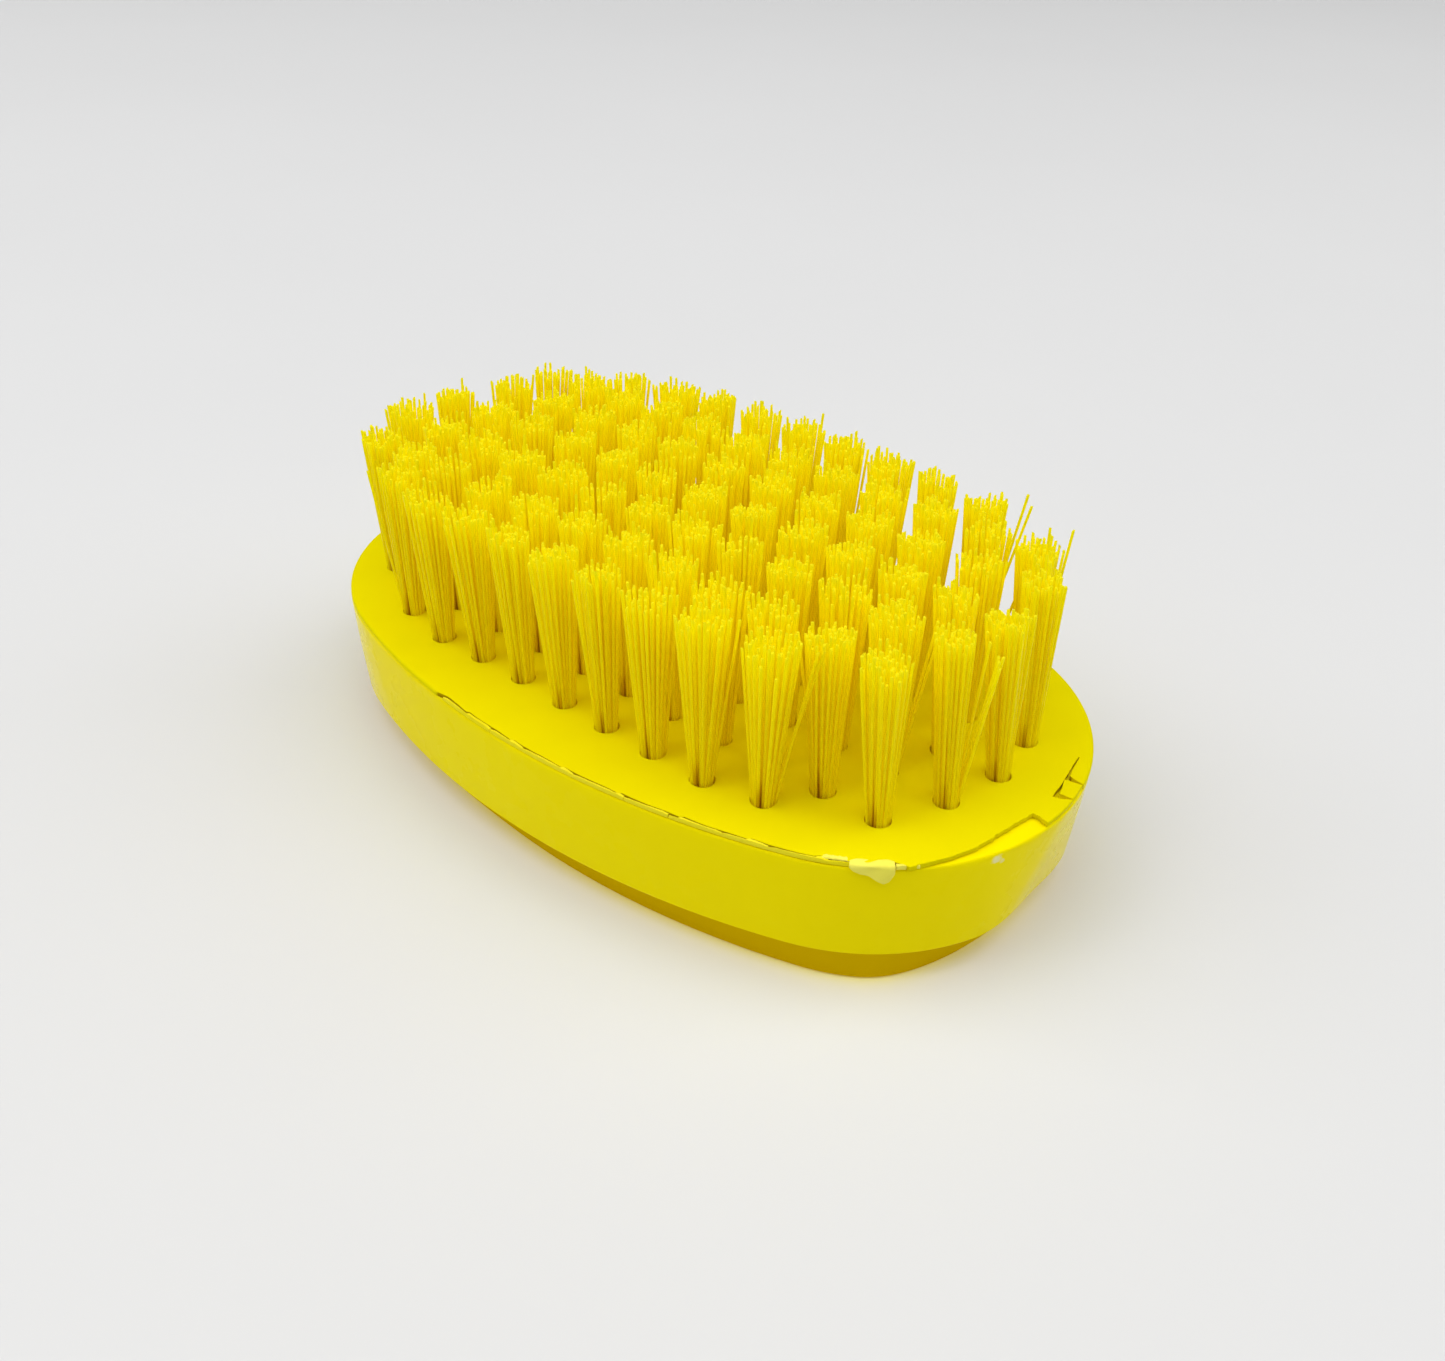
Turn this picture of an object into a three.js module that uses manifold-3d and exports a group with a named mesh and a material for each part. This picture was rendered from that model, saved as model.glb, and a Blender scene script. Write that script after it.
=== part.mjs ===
// Oval palm nail brush, lying on its back with the bristles up.
// A moulded back shell is closed by a bristle plate whose thin edge flange
// covers the shell's rim on a bead of joining plastic. Tufts of straight
// filament stand in blind holes in the plate, in seven rows.
// Millimetres, +Z up. Origin: middle of the flat land that the back rests on.
// +X runs along the oval, towards the end where the flange is chipped.

import * as THREE from "three";
import * as BufferGeometryUtils from "three/addons/utils/BufferGeometryUtils.js";
import Module from "manifold-3d";

const wasm = await Module();
wasm.setup();

// ---------------------------------------------------------------- dimensions
const LENGTH = 90; // oval, end to end
const WIDTH = 54; // oval, side to side
const END_R = 23.2; // end arcs of the four-arc oval
const SEGMENTS = 64; // steps round the oval

const FACE_Z = 15.3; // bristle face above the resting land
const CREASE_Z = 3.67; // crease where the side wall turns into the back
const WALL_DRAFT = 0.78; // wall leans in this much down to the crease
// Below the crease the back's edge runs in towards the land. How far it runs in,
// against the angle in degrees between the oval's normal and +X: least at the
// two corners of the +X end.
const RUN_IN = [
  [0, 2.7],
  [14, 2.55],
  [22, 2.15],
  [30, 1.65],
  [39, 0.95],
  [45, 0.5],
  [51, 0.35],
  [62, 0.65],
  [72, 0.95],
  [81, 1.5],
  [91, 2.1],
  [104, 2.9],
  [180, 3.3],
];
// The wall leans in further at the two ends of the oval: this much more at the
// crease, fading out END_LEAN_SPAN degrees either side of the X axis.
const END_LEAN = 1.0;
const END_LEAN_SPAN = 24;
const SHELL_T = 2.3; // shell wall
const FLOOR_T = 2.6; // shell's thickness at the middle of the back
const RIM_Z = 14.5; // top of the shell's rim
const BEAD_Z = [14.55, 14.75]; // joining bead between rim and flange
const FLANGE_Z = 14.8; // underside of the plate's edge flange
const PLUG_Z = 10.7; // underside of the thick middle of the plate
const PLUG_INSET = 2.7; // plug edge in from the oval, clear of the wall

const HOLE_R = 1.42; // tuft hole
const HOLE_DEPTH = 3.6;
const HOLE_SIDES = 8;
const TUFT_R = 1.17; // tuft where it leaves its hole
const TUFT_ROOT = 3.3; // length of tuft inside its hole
const TUFT_H = 17.7; // tuft above the face
const TIP_HALF = 2.3; // half width of the flared tip across its row
const TIP_LAP = 0.25; // neighbouring tips run into each other by this much

// Tuft positions on the face, one list for each row: x, y of the foot and the
// sideways lean of the tip.
const ROWS = [
  // front row
  [[-26.3, -17.1, 1.2, -1.0], [-19.7, -18.6, 0.8, -1.2], [-13.8, -18.4, 0.5, -1.2],
   [-7.8, -18.4, 0.3, -1.2], [-1.5, -18.7, 0.0, -0.6], [4.5, -18.9, -0.1, -0.6],
   [10.7, -19.0, -0.3, -0.2], [17.0, -19.1, -0.5, 0.4], [23.2, -17.7, 0.3, -0.2]],
  [[-35.2, -12.0, 1.4, -1.4], [-29.3, -12.4, 1.0, -1.0], [-23.5, -12.9, 0.8, -0.8],
   [-16.9, -13.1, 0.5, -0.6], [-10.5, -12.9, 0.3, -0.4], [-4.3, -12.9, 0.1, -0.2],
   [1.8, -12.8, 0.0, 0.0], [7.9, -12.9, -0.1, 0.0], [14.1, -13.1, -0.1, -0.4],
   [20.2, -13.1, -0.2, -0.4], [26.5, -12.9, -0.3, -0.4], [32.8, -13.0, -0.4, -0.9]],
  [[-37.9, -6.2, 1.0, -0.6], [-31.8, -6.4, 0.9, -0.5], [-25.8, -6.4, 0.7, -0.4],
   [-19.6, -6.4, 0.5, -0.3], [-13.4, -6.4, 0.4, -0.2], [-7.4, -6.4, 0.2, -0.1],
   [-1.3, -6.3, 0.0, 0.0], [4.7, -6.3, -0.2, 0.0], [10.8, -6.3, -0.3, 0.0],
   [17.0, -6.4, -0.4, 0.0], [23.1, -6.3, -0.5, 0.1], [29.2, -6.5, -0.7, 0.0],
   [36.0, -6.5, -1.4, 0.3]],
  [[-37.6, 0.0, 0.8, -0.3], [-31.2, 0.0, 0.7, -0.2], [-24.8, 0.0, 0.6, -0.1],
   [-18.3, 0.1, 0.5, 0.0], [-11.9, 0.0, 0.3, 0.0], [-5.7, -0.1, 0.1, 0.0],
   [0.7, 0.0, 0.0, 0.0], [7.0, 0.0, -0.1, 0.1], [13.2, 0.0, -0.3, 0.1],
   [19.2, 0.0, -0.4, 0.1], [25.4, 0.0, -0.6, 0.0], [31.5, 0.0, -0.8, -0.2],
   [37.6, 0.2, -1.1, -0.9]],
  [[-34.7, 6.0, 0.8, 0.0], [-28.1, 6.2, 0.7, 0.0], [-21.5, 6.3, 0.5, 0.1],
   [-15.0, 6.3, 0.4, 0.1], [-8.5, 6.3, 0.2, 0.1], [-2.1, 6.3, 0.1, 0.1],
   [4.3, 6.4, -0.1, 0.1], [10.7, 6.3, -0.3, 0.2], [17.0, 6.3, -0.4, 0.2],
   [23.3, 6.4, -0.6, 0.2], [30.0, 6.5, -0.9, 0.4], [36.7, 6.8, -1.4, 0.8]],
  [[-33.6, 11.4, 0.7, 0.2], [-28.5, 12.6, 0.6, 0.1], [-22.6, 12.6, 0.5, 0.1],
   [-16.6, 12.6, 0.3, 0.1], [-10.5, 12.6, 0.2, 0.1], [-4.4, 12.6, 0.1, 0.1],
   [1.8, 12.6, 0.0, 0.1], [8.0, 12.6, -0.1, 0.1], [14.2, 12.7, -0.3, 0.2],
   [20.6, 12.7, -0.4, 0.2], [27.1, 12.6, -0.6, 0.1], [32.7, 12.9, -0.7, 0.1]],
  // back row
  [[-25.4, 16.5, 0.4, 0.1], [-19.5, 18.3, 0.3, 0.1], [-13.7, 19.0, 0.2, 0.1],
   [-7.4, 19.2, 0.1, 0.1], [-1.4, 19.2, 0.0, 0.1], [4.7, 19.0, 0.0, 0.1],
   [10.7, 19.0, -0.1, 0.1], [16.8, 19.0, -0.2, 0.1], [23.4, 17.7, -0.3, 0.0]],
];

// Where the plate's edge flange has broken away at the near end.
const CHIP = [
  [38.5, -16.1], [39.5, -14.2], [40.5, -12.0], [41.3, -9.8], [41.7, -8.7],
  [42.0, -6.9], [42.35, -5.2], [42.6, -3.8], [43.0, -2.6], [46.5, -2.4],
  [46.5, -18], [40, -20],
];

// -------------------------------------------------------------------- colours
const finish = (hex, roughness) =>
  new THREE.MeshStandardMaterial({ color: hex, roughness, metalness: 0 });
const SHELL = finish(0xd9ca00, 0.35);
const PLATE = finish(0xe9dc00, 0.45);
const BEAD = finish(0xf0ec78, 0.5);
const BRISTLE = finish(0xe6d600, 0.4);

// -------------------------------------------------------------- oval outline
const HALF_L = LENGTH / 2;
const HALF_W = WIDTH / 2;
const SIDE_R =
  ((HALF_L - END_R) ** 2 + HALF_W ** 2 - END_R ** 2) / (2 * (HALF_W - END_R));
const END_X = HALF_L - END_R;
const SIDE_Y = SIDE_R - HALF_W;
const END_ANGLE = Math.atan2(SIDE_Y, END_X); // half angle of each end arc

// Quarter of the oval by arc length, then mirrored: point and outward normal.
function outline(n) {
  const endLen = END_R * END_ANGLE;
  const sideLen = SIDE_R * (Math.PI / 2 - END_ANGLE);
  const quarter = (s) => {
    const d = s * (endLen + sideLen);
    if (d <= endLen) {
      const a = d / END_R;
      return [END_X + END_R * Math.cos(a), END_R * Math.sin(a), Math.cos(a), Math.sin(a)];
    }
    const a = END_ANGLE + (d - endLen) / SIDE_R;
    return [SIDE_R * Math.cos(a), SIDE_R * Math.sin(a) - SIDE_Y, Math.cos(a), Math.sin(a)];
  };
  const out = [];
  const q = n / 4;
  for (let j = 0; j < n; j++) {
    const k = Math.floor(j / q);
    const s = (j - k * q) / q;
    if (k === 0) out.push(quarter(s));
    else if (k === 1) {
      const [x, y, u, v] = quarter(1 - s);
      out.push([-x, y, -u, v]);
    } else if (k === 2) {
      const [x, y, u, v] = quarter(s);
      out.push([-x, -y, -u, -v]);
    } else {
      const [x, y, u, v] = quarter(1 - s);
      out.push([x, -y, u, -v]);
    }
  }
  return out;
}
const OVAL = outline(SEGMENTS);

// How far the back's edge runs in where the oval's normal is (u, v).
function runIn(u, v) {
  const angle = (Math.atan2(Math.abs(v), u) * 180) / Math.PI;
  for (let i = 1; i < RUN_IN.length; i++) {
    const [a0, r0] = RUN_IN[i - 1];
    const [a1, r1] = RUN_IN[i];
    if (angle <= a1) return r0 + ((r1 - r0) * (angle - a0)) / (a1 - a0);
  }
  return RUN_IN[RUN_IN.length - 1][1];
}

// How much further the wall leans in where the oval's normal is (u, v).
function endLean(u, v) {
  const angle = (Math.atan2(Math.abs(v), Math.abs(u)) * 180) / Math.PI;
  return END_LEAN * (1 - THREE.MathUtils.smoothstep(angle, 0, END_LEAN_SPAN));
}

// A turned profile reshaped from a circle to the oval. Profile points are
// [inset from the oval, z, share of the run-in added to the inset, share of the
// ends' lean added to it]; an inset of WIDTH / 2 is the middle.
const DEEP = 12;
function ovalTurned(profile) {
  const points = profile.map(([inset, z]) => new THREE.Vector2(HALF_W - inset, z));
  const geometry = new THREE.LatheGeometry(points, SEGMENTS);
  const pos = geometry.attributes.position;
  for (let i = 0; i < pos.count; i++) {
    const x = pos.getX(i);
    const z = pos.getY(i);
    const y = pos.getZ(i);
    const radius = Math.hypot(x, y);
    if (radius < 1e-4) {
      pos.setXYZ(i, 0, 0, z);
      continue;
    }
    const turn = (Math.atan2(x, y) / (2 * Math.PI) + 1) % 1;
    const j = Math.round(turn * SEGMENTS) % SEGMENTS;
    const [ox, oy, u, v] = OVAL[j];
    const share = profile[i % profile.length][2] ?? 0;
    const leanShare = profile[i % profile.length][3] ?? 0;
    const inset = HALF_W - radius + share * runIn(u, v) + leanShare * endLean(u, v);
    const shallow = Math.min(inset, DEEP);
    const scale = inset > DEEP ? (HALF_W - inset) / (HALF_W - DEEP) : 1;
    pos.setXYZ(i, (ox - u * shallow) * scale, (oy - v * shallow) * scale, z);
  }
  return geometry;
}

// ------------------------------------------------------------ solid helpers
function toSolid(geometry) {
  const g = geometry.clone();
  g.deleteAttribute("normal");
  g.deleteAttribute("uv");
  const merged = BufferGeometryUtils.mergeVertices(g, 1e-4);
  const mesh = new wasm.Mesh({
    numProp: 3,
    vertProperties: new Float32Array(merged.attributes.position.array),
    triVerts: new Uint32Array(merged.index.array),
  });
  const solid = new wasm.Manifold(mesh);
  if (solid.volume() >= 0) return solid;
  const flipped = new Uint32Array(merged.index.array);
  for (let i = 0; i < flipped.length; i += 3) {
    const t = flipped[i];
    flipped[i] = flipped[i + 1];
    flipped[i + 1] = t;
  }
  return new wasm.Manifold(
    new wasm.Mesh({
      numProp: 3,
      vertProperties: new Float32Array(merged.attributes.position.array),
      triVerts: flipped,
    }),
  );
}

function toGeometry(solid) {
  const mesh = solid.getMesh();
  const geometry = new THREE.BufferGeometry();
  const flat = new Float32Array((mesh.vertProperties.length / mesh.numProp) * 3);
  for (let i = 0; i < flat.length / 3; i++)
    for (let c = 0; c < 3; c++) flat[i * 3 + c] = mesh.vertProperties[i * mesh.numProp + c];
  geometry.setAttribute("position", new THREE.BufferAttribute(flat, 3));
  geometry.setIndex(new THREE.BufferAttribute(new Uint32Array(mesh.triVerts), 1));
  geometry.computeVertexNormals();
  return geometry;
}

// Broken-out part of the flange, as a prism between two heights.
function chipPrism(z0, z1, grow) {
  const shape = new THREE.Shape(
    CHIP.map(([x, y], i) => new THREE.Vector2(x + (i < 9 ? grow : 0), y)),
  );
  const geometry = new THREE.ExtrudeGeometry(shape, {
    depth: z1 - z0,
    bevelEnabled: false,
    steps: 1,
  });
  geometry.translate(0, 0, z0);
  return toSolid(geometry);
}

const group = new THREE.Group();
function addMesh(name, geometry, material, parent = group) {
  const mesh = new THREE.Mesh(geometry, material);
  mesh.name = name;
  parent.add(mesh);
  return mesh;
}

// ------------------------------------------------------------------ the shell
// Open cup: flat land to rest on, an edge that runs out and up to the crease,
// slightly drafted wall, square rim, and the hollow inside.
const shellProfile = [
  [HALF_W, 0],
  [10, 0],
  [1.9, 0, 1, 1],
  [1.1, 0.08, 1, 1],
  [0.8, 0.35, 0.95, 1],
  [0.8, 1.95, 0.46, 1],
  [WALL_DRAFT + 0.02, CREASE_Z - 0.17, 0.03, 1],
  [WALL_DRAFT, CREASE_Z, 0, 1],
  [WALL_DRAFT - 0.03, CREASE_Z + 0.3, 0, 0.97],
  [0.1, RIM_Z - 0.25],
  [0.2, RIM_Z],
  [SHELL_T, RIM_Z],
  [SHELL_T + 0.5, 6.4],
  [SHELL_T + 1.6, 4.8],
  [8.5, FLOOR_T + 0.5],
  [HALF_W, FLOOR_T],
];
addMesh("back_shell", toGeometry(toSolid(ovalTurned(shellProfile))), SHELL);

// ------------------------------------------------------------ the joining bead
const beadProfile = [
  [0.1, BEAD_Z[0]],
  [0.1, BEAD_Z[1]],
  [2.2, BEAD_Z[1]],
  [2.2, BEAD_Z[0]],
  [0.1, BEAD_Z[0]],
];
const bead = toSolid(ovalTurned(beadProfile)).subtract(
  chipPrism(BEAD_Z[0] - 1, BEAD_Z[1] + 1, 0.2),
);
addMesh("seam_bead", toGeometry(bead), BEAD);

// ------------------------------------------------------------ the bristle plate
const plateProfile = [
  [HALF_W, PLUG_Z],
  [PLUG_INSET + 0.4, PLUG_Z],
  [PLUG_INSET, PLUG_Z + 0.4],
  [PLUG_INSET, FLANGE_Z],
  [0.0, FLANGE_Z],
  [0.0, FACE_Z - 0.2],
  [0.25, FACE_Z],
  [HALF_W, FACE_Z],
];
let plate = toSolid(ovalTurned(plateProfile)).subtract(
  chipPrism(FLANGE_Z - 1, FACE_Z + 1, 0),
);
for (const row of ROWS)
  for (const [x, y] of row) {
    const hole = new THREE.CylinderGeometry(HOLE_R, HOLE_R, HOLE_DEPTH + 1, HOLE_SIDES);
    hole.rotateX(Math.PI / 2);
    hole.translate(x, y, FACE_Z + 1 - (HOLE_DEPTH + 1) / 2);
    plate = plate.subtract(toSolid(hole));
  }
addMesh("bristle_plate", toGeometry(plate), PLATE);

// -------------------------------------------------------------- the tuft rows
// One tuft: a round root, flaring to a tip that reaches towards its
// neighbours along the row.
const TUFT_SIDES = 8;
function tuft([x, y, leanX, leanY], halfLeft, halfRight) {
  const points = [
    new THREE.Vector2(0, 0),
    new THREE.Vector2(1, 0),
    new THREE.Vector2(1, 1),
    new THREE.Vector2(1, 2),
    new THREE.Vector2(0, 2),
  ];
  const geometry = new THREE.LatheGeometry(points, TUFT_SIDES);
  const pos = geometry.attributes.position;
  for (let i = 0; i < pos.count; i++) {
    const u = pos.getZ(i);
    const v = pos.getX(i);
    const level = Math.round(pos.getY(i));
    if (level === 0) {
      pos.setXYZ(i, x + u * TUFT_R * 0.92, y + v * TUFT_R * 0.92, FACE_Z - TUFT_ROOT);
    } else if (level === 1) {
      pos.setXYZ(i, x + u * TUFT_R, y + v * TUFT_R, FACE_Z);
    } else {
      pos.setXYZ(
        i,
        x + leanX + u * (u < 0 ? halfLeft : halfRight),
        y + leanY + v * TIP_HALF,
        FACE_Z + TUFT_H,
      );
    }
  }
  return toSolid(geometry);
}
// Half length of a tip towards its neighbour, so that the two just meet even
// where the row bends.
function reach(a, b) {
  const half = Math.abs(b[0] + b[2] - a[0] - a[2]) / 2;
  const step = Math.abs(b[1] + b[3] - a[1] - a[3]) / 2;
  const flat = (1 - Math.cos(Math.PI / 4)) / Math.sin(Math.PI / 4); // eight-sided tip
  return half / (1 - (flat * step) / TIP_HALF) + TIP_LAP;
}
ROWS.forEach((row, r) => {
  let solid = null;
  row.forEach((t, i) => {
    const gapLeft = i > 0 ? reach(t, row[i - 1]) : TIP_HALF;
    const gapRight = i < row.length - 1 ? reach(t, row[i + 1]) : TIP_HALF;
    const one = tuft(t, gapLeft, gapRight);
    solid = solid ? solid.add(one) : one;
  });
  addMesh(`tuft_row_${r + 1}`, toGeometry(solid), BRISTLE);
});

export default group;
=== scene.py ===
import math

import bpy
import numpy as np
from mathutils import Matrix, Vector, geometry


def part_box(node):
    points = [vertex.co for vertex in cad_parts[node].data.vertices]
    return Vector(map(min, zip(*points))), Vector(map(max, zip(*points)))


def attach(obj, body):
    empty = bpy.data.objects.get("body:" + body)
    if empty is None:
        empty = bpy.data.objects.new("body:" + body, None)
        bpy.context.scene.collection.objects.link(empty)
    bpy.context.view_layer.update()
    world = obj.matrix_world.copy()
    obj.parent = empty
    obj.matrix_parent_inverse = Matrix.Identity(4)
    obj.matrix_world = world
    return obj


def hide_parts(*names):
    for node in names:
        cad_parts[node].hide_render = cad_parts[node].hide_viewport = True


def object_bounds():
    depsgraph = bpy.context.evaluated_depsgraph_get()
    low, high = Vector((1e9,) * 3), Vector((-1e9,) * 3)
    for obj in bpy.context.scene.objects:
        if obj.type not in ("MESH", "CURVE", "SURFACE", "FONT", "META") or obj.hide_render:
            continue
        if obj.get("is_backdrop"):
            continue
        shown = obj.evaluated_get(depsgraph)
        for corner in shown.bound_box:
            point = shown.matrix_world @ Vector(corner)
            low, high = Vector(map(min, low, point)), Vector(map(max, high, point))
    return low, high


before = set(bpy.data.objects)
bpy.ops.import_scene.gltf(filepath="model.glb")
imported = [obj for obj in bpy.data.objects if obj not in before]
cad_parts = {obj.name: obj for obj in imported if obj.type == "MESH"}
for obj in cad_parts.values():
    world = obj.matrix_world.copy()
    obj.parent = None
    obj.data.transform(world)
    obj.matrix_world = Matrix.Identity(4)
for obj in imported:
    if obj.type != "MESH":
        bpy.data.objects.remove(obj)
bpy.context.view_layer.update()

MM = 0.001

# ------------------------------------------------------------- sizes from the frame (mm)
shell_lo, shell_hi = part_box("back_shell")
plate_lo, plate_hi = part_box("bristle_plate")
HALF_L = shell_hi.x / MM
HALF_W = shell_hi.y / MM
FACE_Z = plate_hi.z / MM
TOP_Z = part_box("tuft_row_4")[1].z / MM
TUFT_H = TOP_Z - FACE_Z
PLUG_Z = plate_lo.z / MM

END_R = 23.2  # end arcs of the four-arc oval
RIM_Z = FACE_Z - 0.62  # top of the shell's rim
FLANGE_Z = FACE_Z - 0.54  # underside of the plate's edge flange
CREASE_Z = 3.67  # crease between the wall and the back
HOLE_R = 1.27
# How far the back's edge runs in below the crease, against the angle in degrees
# between the oval's normal and +X: least at the two corners of the +X end.
RUN_ANGLE = [0, 14, 22, 30, 39, 45, 51, 62, 72, 81, 91, 104, 180]
RUN_IN = [2.7, 2.55, 2.15, 1.65, 0.95, 0.5, 0.35, 0.65, 0.95, 1.5, 2.1, 2.9, 3.3]
# The wall leans in further at the two ends, over this many degrees from the X axis.
END_LEAN, END_LEAN_SPAN = 1.0, 24.0

# Lean of each tuft's tip (x, y), row by row from the front, in mm.
LEANS = [
    [(1.2, -1.0), (0.8, -1.2), (0.5, -1.2), (0.3, -1.2), (0.0, -0.6), (-0.1, -0.6), (-0.3, -0.2), (-0.5, 0.4), (0.3, -0.2)],
    [(1.4, -1.4), (1.0, -1.0), (0.8, -0.8), (0.5, -0.6), (0.3, -0.4), (0.1, -0.2), (0.0, 0.0), (-0.1, 0.0), (-0.1, -0.4), (-0.2, -0.4), (-0.3, -0.4), (-0.4, -0.9)],
    [(1.0, -0.6), (0.9, -0.5), (0.7, -0.4), (0.5, -0.3), (0.4, -0.2), (0.2, -0.1), (0.0, 0.0), (-0.2, 0.0), (-0.3, 0.0), (-0.4, 0.0), (-0.5, 0.1), (-0.7, 0.0), (-1.4, 0.3)],
    [(0.8, -0.3), (0.7, -0.2), (0.6, -0.1), (0.5, 0.0), (0.3, 0.0), (0.1, 0.0), (0.0, 0.0), (-0.1, 0.1), (-0.3, 0.1), (-0.4, 0.1), (-0.6, 0.0), (-0.8, -0.2), (-1.1, -0.9)],
    [(0.8, 0.0), (0.7, 0.0), (0.5, 0.1), (0.4, 0.1), (0.2, 0.1), (0.1, 0.1), (-0.1, 0.1), (-0.3, 0.2), (-0.4, 0.2), (-0.6, 0.2), (-0.9, 0.4), (-1.4, 0.8)],
    [(0.7, 0.2), (0.6, 0.1), (0.5, 0.1), (0.3, 0.1), (0.2, 0.1), (0.1, 0.1), (0.0, 0.1), (-0.1, 0.1), (-0.3, 0.2), (-0.4, 0.2), (-0.6, 0.1), (-0.7, 0.1)],
    [(0.4, 0.1), (0.3, 0.1), (0.2, 0.1), (0.1, 0.1), (0.0, 0.1), (0.0, 0.1), (-0.1, 0.1), (-0.2, 0.1), (-0.3, 0.0)],
]
# Width of a tuft across its tips, where it differs from the usual, by (row, number).
TIP_WIDTH = {
    (1, 1): 4.2, (1, 2): 4.4, (1, 3): 4.6, (1, 4): 3.9, (1, 5): 4.6, (1, 6): 4.1,
    (1, 7): 4.7, (1, 8): 5.1, (1, 9): 5.3, (2, 11): 4.5, (2, 12): 4.5, (3, 13): 3.7,
    (4, 13): 4.0, (5, 12): 4.1, (2, 1): 4.2,
}
# Bent filaments standing away from their tufts: tip (x, y, height above the face)
# by (row, number).
SPLAYED = {
    (3, 13): [(36.9, -4.4, 16.9), (38.2, -5.0, 16.2), (38.6, -4.9, 16.3), (38.9, -5.9, 15.7), (38.5, -5.4, 16.0)],
    (3, 12): [(31.9, -5.0, 17.2), (32.3, -4.9, 16.9)],
    (1, 9): [(27.0, -15.2, 17.0), (26.6, -15.6, 16.7)],
    (7, 9): [(28.1, 17.9, 18.6), (26.9, 19.2, 19.0)],
    (6, 11): [(31.8, 13.2, 18.2)],
    (6, 12): [(33.2, 17.2, 18.0)],
}

# ------------------------------------------------------------------ the camera
cam_data = bpy.data.cameras.new("camera")
cam_data.sensor_fit = "HORIZONTAL"
cam_data.sensor_width = 36.0
cam_data.lens = 1432.3893 / 1445.0 * 36.0
cam_data.clip_start, cam_data.clip_end = 0.005, 20.0
cam = bpy.data.objects.new("camera", cam_data)
bpy.context.scene.collection.objects.link(cam)
CAM_EL, CAM_AZ, CAM_ROLL = 0.5932, 0.6723, 0.0346
back = Vector((math.cos(CAM_EL) * math.sin(CAM_AZ), -math.cos(CAM_EL) * math.cos(CAM_AZ), math.sin(CAM_EL)))
right0 = (-back).cross(Vector((0, 0, 1))).normalized()
up0 = right0.cross(-back)
right = right0 * math.cos(CAM_ROLL) + up0 * math.sin(CAM_ROLL)
up = -right0 * math.sin(CAM_ROLL) + up0 * math.cos(CAM_ROLL)
eye = Vector((0.1737 * HALF_L, -0.1114 * HALF_L, FACE_Z)) + back * 3.3061 * HALF_L
m = Matrix.Identity(4)
for i, axis in enumerate((right, up, back)):
    for j in range(3):
        m[j][i] = axis[j]
m.translation = eye * MM
cam.matrix_world = m
bpy.context.scene.camera = cam

# ------------------------------------------------------------------- mesh help
body = "root"


def add_object(name, verts, faces, material, smooth=True, attrs=None, corner_sharp=None):
    """A mesh object from mm coordinates."""
    mesh = bpy.data.meshes.new(name)
    mesh.from_pydata((np.asarray(verts, float) * MM).tolist(), [], faces)
    mesh.validate()
    if attrs:
        for key, values in attrs.items():
            a = mesh.attributes.new(key, "FLOAT", "POINT")
            a.data.foreach_set("value", np.asarray(values, np.float32))
    mesh.materials.append(material)
    mesh.polygons.foreach_set("use_smooth", [smooth] * len(mesh.polygons))
    mesh.update()
    obj = bpy.data.objects.new(name, mesh)
    bpy.context.scene.collection.objects.link(obj)
    if corner_sharp is not None:
        obj.data.set_sharp_from_angle(angle=math.radians(corner_sharp))
    return obj


def piece(obj, nodes):
    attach(obj, body)
    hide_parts(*nodes)
    return obj


# ---------------------------------------------------------------- oval outline
SIDE_R = ((HALF_L - END_R) ** 2 + HALF_W**2 - END_R**2) / (2 * (HALF_W - END_R))
END_X = HALF_L - END_R
SIDE_Y = SIDE_R - HALF_W
END_ANGLE = math.atan2(SIDE_Y, END_X)
END_LEN = END_R * END_ANGLE
SIDE_LEN = SIDE_R * (math.pi / 2 - END_ANGLE)
QUARTER = END_LEN + SIDE_LEN


def oval(s):
    """Points and outward normals at arc lengths s from the +X end, anticlockwise."""
    s = np.mod(np.asarray(s, float), 4 * QUARTER)
    k = np.floor(s / QUARTER).astype(int) % 4
    d = s - k * QUARTER
    d = np.where(k % 2 == 1, QUARTER - d, d)
    a_end = d / END_R
    a_side = END_ANGLE + (d - END_LEN) / SIDE_R
    on_end = d <= END_LEN
    a = np.where(on_end, a_end, a_side)
    x = np.where(on_end, END_X + END_R * np.cos(a), SIDE_R * np.cos(a))
    y = np.where(on_end, END_R * np.sin(a), SIDE_R * np.sin(a) - SIDE_Y)
    u, v = np.cos(a), np.sin(a)
    sx = np.where((k == 1) | (k == 2), -1.0, 1.0)
    sy = np.where(k >= 2, -1.0, 1.0)
    return np.stack([x * sx, y * sy], -1), np.stack([u * sx, v * sy], -1)


PERIMETER = 4 * QUARTER
TABLE_S = np.linspace(0, PERIMETER, 8000, endpoint=False)
TABLE_P, TABLE_N = oval(TABLE_S)


def arc_at(x, y):
    """Arc length of the oval's point nearest to (x, y)."""
    return TABLE_S[np.argmin((TABLE_P[:, 0] - x) ** 2 + (TABLE_P[:, 1] - y) ** 2)]


def wave(s, seed, scale, octaves=3):
    """Smooth periodic noise round the oval, within about -1..1."""
    rng = np.random.RandomState(seed)
    out = np.zeros_like(np.asarray(s, float))
    base = max(1, int(round(PERIMETER / scale)))
    for o in range(octaves):
        for n in range(base * 2**o, base * 2**o + 3):
            out += np.sin(2 * np.pi * n * np.asarray(s) / PERIMETER + rng.uniform(0, 6.283)) * rng.uniform(0.4, 1.0) / 2**o
    return out / 3.0


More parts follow.
